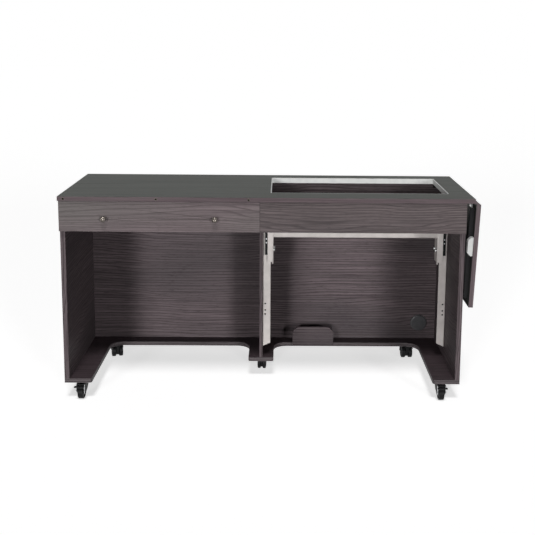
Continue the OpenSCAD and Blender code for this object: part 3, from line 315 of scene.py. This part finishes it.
# Polished nickel plate of the knobs and inserts: dark warm reflections with small highlights
NICKEL = coated("polished_nickel_plate", "#69635e", "#4f4a45", 0.2, 0.5, 0.005, metallic=1.0)
# Zinc-plated steel of runners, hinges, rods and screws: bright and slightly clouded
ZINC = coated("zinc_plated_steel", "#c6c7c8", "#b1b2b4", 0.34, 0.8, 0.01, metallic=1.0)

BOARDS = {
    APRON: ["drawer_front"],
    FASCIA: ["right_fascia"],
    SIDES: ["left_side_panel", "right_side_panel", "centre_divider"],
    FLOOR_BOARD: ["bottom_board"],
    LEAF: ["drop_leaf"],
    TABLE: ["top_slab"],
    BACK: ["back_panel", "pedal_stop_board"],
}
FITTINGS = {
    DRAWER_BOARD: ["drawer_inner_front", "drawer_left_side", "drawer_right_side", "drawer_back",
                   "drawer_bottom"],
    LIFT_PAINT: ["left_lift_upright", "right_lift_upright", "left_lift_carriage",
                 "right_lift_carriage", "lift_cross_bar"],
    MELAMINE: ["lift_platform"],
    WHITE_PLASTIC: ["opening_trim", "leaf_stop_blocks"],
    NYLON: ["slab_corner_blocks", "lift_guide_shoes"],
    GROMMET: ["cable_grommet", "grommet_cap"],
    BLACK_STEEL: ["bracket_wall_plates", "bracket_channels", "bracket_braces",
                  "gas_spring_cylinders", "caster_plates"],
    NICKEL: ["drawer_knobs", "edge_inserts"],
    ZINC: ["carcass_screws", "drawer_fixed_runners", "drawer_sliding_runners",
           "lift_upright_screws", "lift_carriage_screws", "gas_spring_rods", "hinge_slab_flaps",
           "hinge_leaf_flaps", "hinge_slab_screws", "hinge_leaf_screws", "hinge_pins",
           "bracket_pivot_pins", "bracket_screws", "caster_screws"],
}
BOARD_EDGE_MM = 0.6
FITTING_EDGE_MM = 0.35
WELD_MM = 0.004      # closer points are one point of the solid
SHARP_DEGREES = 40   # an edge that turns by more is rounded


def finish_nodes():
    """Gives each CAD node its finish and a small edge radius that catches the light. Nodes that
    the lists leave out are the casters' wheels and their other moulded pieces."""
    finish_of = {name: material for material, names in {**BOARDS, **FITTINGS}.items()
                 for name in names}
    for name, obj in NODES.items():
        material = finish_of.get(name, WHEEL if "caster_wheel" in name else NYLON)
        obj.data.materials.clear()
        obj.data.materials.append(material)
        soften(obj, BOARD_EDGE_MM if material in BOARDS else FITTING_EDGE_MM)


def soften(obj, radius_mm):
    """Joins the node's loose triangles and rounds its sharp edges to radius_mm."""
    weld = obj.modifiers.new("weld", "WELD")
    weld.merge_threshold = WELD_MM * MM
    bevel = obj.modifiers.new("edge", "BEVEL")
    bevel.width = radius_mm * MM
    bevel.segments = 2
    bevel.limit_method = "ANGLE"
    bevel.angle_limit = math.radians(SHARP_DEGREES)
    bevel.harden_normals = True


def closed_piece(name, rings, material, body):
    """A closed surface through rings, an array of (rings, points, 3) in millimetres: neighbouring
    rings are joined by four-sided faces and each end ring is filled with one face. The faces are
    turned over where the volume that they enclose comes out negative."""
    count, points = rings.shape[:2]
    vertices = rings.reshape(-1, 3) * MM
    index = np.arange(count * points).reshape(count, points)
    after = np.roll(index, -1, axis=1)
    quads = np.stack((index[:-1], after[:-1], after[1:], index[1:]), axis=-1).reshape(-1, 4)
    a, b, c, d = (vertices[quads[:, k]] for k in range(4))
    volume = np.einsum("ij,ij->", a, np.cross(b, c)) + np.einsum("ij,ij->", a, np.cross(c, d))
    for end, turn in ((rings[0], -1), (rings[-1], 1)):
        fan = end * MM
        volume += turn * np.einsum("j,ij->", fan[0], np.cross(fan[1:-1], fan[2:]))
    faces = quads.tolist() + [index[0][::-1].tolist(), index[-1].tolist()]
    if volume < 0:
        faces = [face[::-1] for face in faces]
    mesh = bpy.data.meshes.new(name)
    mesh.from_pydata(vertices.tolist(), [], faces)
    mesh.materials.append(material)
    piece = bpy.data.objects.new(name, mesh)
    bpy.context.scene.collection.objects.link(piece)
    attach(piece, body)


# Millimetres. The fork's front edge seen from its king pin: how far it stands to the side and in
# front at its top, how far its foot leans further forward, its top's height and its length.
FORK_EDGE = {"side": 15.2, "front": -40.2, "lean": -1.9, "top": 59.0, "length": 35.0,
             "half_width": 1.3, "half_depth": 0.45}
FORK_EDGE_RINGS, FORK_EDGE_POINTS = 9, 12
# King pin's x and y in millimetres, and the degrees by which the caster stands turned
FRONT_CASTERS = {"left": (-688.832, -197.0, -4.0), "right": (636.168, -197.0, 2.0)}


def add_fork_edges():
    """The bright bare steel of the front casters' two fork edges. Each is an ellipse carried down
    the edge and drawn in to a third at both ends; the king pin's angle turns the pair."""
    along = np.linspace(0, 1, FORK_EDGE_RINGS)
    angle = np.linspace(0, 2 * np.pi, FORK_EDGE_POINTS, endpoint=False)
    taper = 1 - 0.67 * np.abs(2 * along - 1) ** 6
    height = FORK_EDGE["top"] - FORK_EDGE["length"] * along
    front = FORK_EDGE["front"] + FORK_EDGE["lean"] * along
    wide = FORK_EDGE["half_width"] * np.outer(taper, np.cos(angle))
    deep = FORK_EDGE["half_depth"] * np.outer(taper, np.sin(angle))
    y = front[:, None] + deep
    z = np.repeat(height[:, None], len(angle), axis=1)
    for side, (pin_x, pin_y, turn) in FRONT_CASTERS.items():
        cos, sin = math.cos(math.radians(turn)), math.sin(math.radians(turn))
        to_middle = 1 if side == "left" else -1
        for leg, hand in (("inner", to_middle), ("outer", -to_middle)):
            x = hand * FORK_EDGE["side"] + wide
            rings = np.stack((pin_x + cos * x - sin * y, pin_y + sin * x + cos * y, z), axis=-1)
            closed_piece(f"fork_edge_{side}_{leg}", rings, ZINC, f"swivel_front_{side}")


def seen_rays(tree):
    """1 for rays that come from the camera, from gloss or through glass, and 0 for the rest."""
    rays = add_node(tree, "ShaderNodeLightPath")
    seen = rays["Is Camera Ray"]
    for ray in ("Is Glossy Ray", "Is Transmission Ray"):
        seen = add_node(tree, MATH, {0: seen, 1: rays[ray]}, operation="MAXIMUM")[0]
    return seen


FLOOR_REACH = 30.0
FLOOR_GLOW = 0.625   # what the floor adds where it is seen, which brings it up to white


def set_floor():
    """A wide pale floor that shows white to the camera, in gloss and through glass and keeps the
    cabinet's soft shadow; the light that it throws back up is that of a grey studio floor."""
    mesh = bpy.data.meshes.new("studio_floor")
    corners = [(x * FLOOR_REACH, y * FLOOR_REACH, 0)
               for x, y in ((-1, -1), (1, -1), (1, 1), (-1, 1))]
    mesh.from_pydata(corners, [], [(0, 1, 2, 3)])
    floor = bpy.data.objects.new("studio_floor", mesh)
    bpy.context.scene.collection.objects.link(floor)
    material, tree = new_material("matt_white_floor")
    seen = seen_rays(tree)
    colours = {0: seen, 6: linear("#6a6a6a"), 7: linear("#e0e0e0")}
    shader = add_node(tree, "ShaderNodeBsdfPrincipled", {
        "Base Color": add_node(tree, MIX, colours, data_type="RGBA")[2],
        "Roughness": 1.0, "Specular IOR Level": 0.0, "Emission Color": linear("#ffffff"),
        "Emission Strength": add_node(tree, MATH, {0: seen, 1: FLOOR_GLOW},
                                      operation="MULTIPLY")[0]})[0]
    add_node(tree, "ShaderNodeOutputMaterial", {"Surface": shader})
    mesh.materials.append(material)
    floor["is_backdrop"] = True


FILL = 0.03   # strength of the even light from all around, where 1 is white


def set_world():
    """White to the camera, in gloss and through glass, and an even soft light that fills the
    shadows."""
    world = bpy.data.worlds.new("studio_white")
    bpy.context.scene.world = world
    world.use_nodes = True
    tree = world.node_tree
    tree.nodes.clear()
    strength = {0: seen_rays(tree), 1: 1 - FILL, 2: FILL}
    strength = add_node(tree, MATH, strength, operation="MULTIPLY_ADD")[0]
    white = {"Color": linear("#ffffff"), "Strength": strength}
    white = add_node(tree, "ShaderNodeBackground", white)[0]
    add_node(tree, "ShaderNodeOutputWorld", {"Surface": white})


def place_lamp(name, kind, place, target, energy, lit_only=None, **settings):
    """A lamp of the given kind at place that shines towards target, on the objects of the
    collection lit_only where one is given. Sizes are metres and angles degrees."""
    lamp = bpy.data.lights.new(name, kind)
    lamp.energy = energy
    for key, value in settings.items():
        setattr(lamp, key, math.radians(value) if key in ("angle", "spread") else value)
    obj = bpy.data.objects.new(name, lamp)
    obj.location = place
    obj.rotation_mode = "QUATERNION"
    obj.rotation_quaternion = (Vector(target) - Vector(place)).to_track_quat("-Z", "Y")
    obj.light_linking.receiver_collection = lit_only
    bpy.context.scene.collection.objects.link(obj)


def collect(name, objects):
    """A collection that a lamp can be kept to; it isn't part of the scene."""
    collection = bpy.data.collections.new(name)
    for obj in objects:
        collection.objects.link(obj)
    return collection


def set_lights():
    """Two wide lamps low at the left and right, and one narrow lamp for each bay's back, so that
    a bay is brightest in its middle; a soft light from above and in front for the table and the
    floor; and three softboxes for the sides and rear, which are flagged off the floor so that the
    shadow under the cabinet stays."""
    middle = (0, 0, 0)
    place_lamp("lamp_left", "SUN", (-1.8, -5, 0.7), middle, 1.3, angle=9)
    place_lamp("lamp_right", "SUN", (2.6, -5, 0.75), middle, 1.05, angle=9)
    place_lamp("light_above", "SUN", (0, 0, 3), (0, 1.7, 0), 1.36, angle=12)
    bay_backs = collect("bay_backs", [NODES["back_panel"], NODES["pedal_stop_board"]])
    for name, x in (("beam_left_bay", -0.337), ("beam_right_bay", 0.307)):
        place_lamp(name, "AREA", (x, -1.6, 0.37), (x, 0, 0.37), 0.34, lit_only=bay_backs,
                   shape="RECTANGLE", size=0.36, size_y=0.76, spread=5)
    cabinet = collect("lit_from_behind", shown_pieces())
    for name, place, energy in (("softbox_behind", (0.4, 3.6, 0.38), 95),
                                ("softbox_left", (-3.6, 1.3, 0.38), 60),
                                ("softbox_right", (3.6, 1.3, 0.38), 60)):
        place_lamp(name, "AREA", place, (0, 0.2, 0.38), energy, lit_only=cabinet, size=0.7)


IMAGE_SIDE = 535                         # pixels of the photograph's square frame
FOCAL_PX = 937.354                       # the lens, in those pixels
CENTRE_PX = (293.612, 187.282)           # where the lens points, right and down from the corner
CAMERA_PLACE = (0.0421, -3.5197, 1.3395)
CAMERA_TURN = (-0.739, 9.372, -0.52)     # degrees of yaw, pitch down and roll
SENSOR_MM = 36


def set_camera():
    """The photograph's camera: place, direction and focal length were fitted to straight edges."""
    yaw, pitch, roll = (math.radians(turn) for turn in CAMERA_TURN)
    forward = Vector((-math.sin(yaw) * math.cos(pitch), math.cos(yaw) * math.cos(pitch),
                      -math.sin(pitch)))
    level = Vector((math.cos(yaw), math.sin(yaw), 0))
    down = forward.cross(level)
    right = math.cos(roll) * level + math.sin(roll) * down
    down = -math.sin(roll) * level + math.cos(roll) * down
    camera_data = bpy.data.cameras.new("camera")
    camera = bpy.data.objects.new("camera", camera_data)
    rows = [(right[k], -down[k], -forward[k], CAMERA_PLACE[k]) for k in range(3)]
    camera.matrix_world = Matrix((*rows, (0, 0, 0, 1)))
    camera_data.sensor_width = SENSOR_MM
    camera_data.lens = FOCAL_PX * SENSOR_MM / IMAGE_SIDE
    camera_data.shift_x = (IMAGE_SIDE / 2 - CENTRE_PX[0]) / IMAGE_SIDE
    camera_data.shift_y = (CENTRE_PX[1] - IMAGE_SIDE / 2) / IMAGE_SIDE
    bpy.context.scene.collection.objects.link(camera)
    bpy.context.scene.camera = camera


set_camera()
finish_nodes()
add_fork_edges()
set_floor()
set_world()
set_lights()
bpy.context.scene.view_settings.view_transform = "Standard"
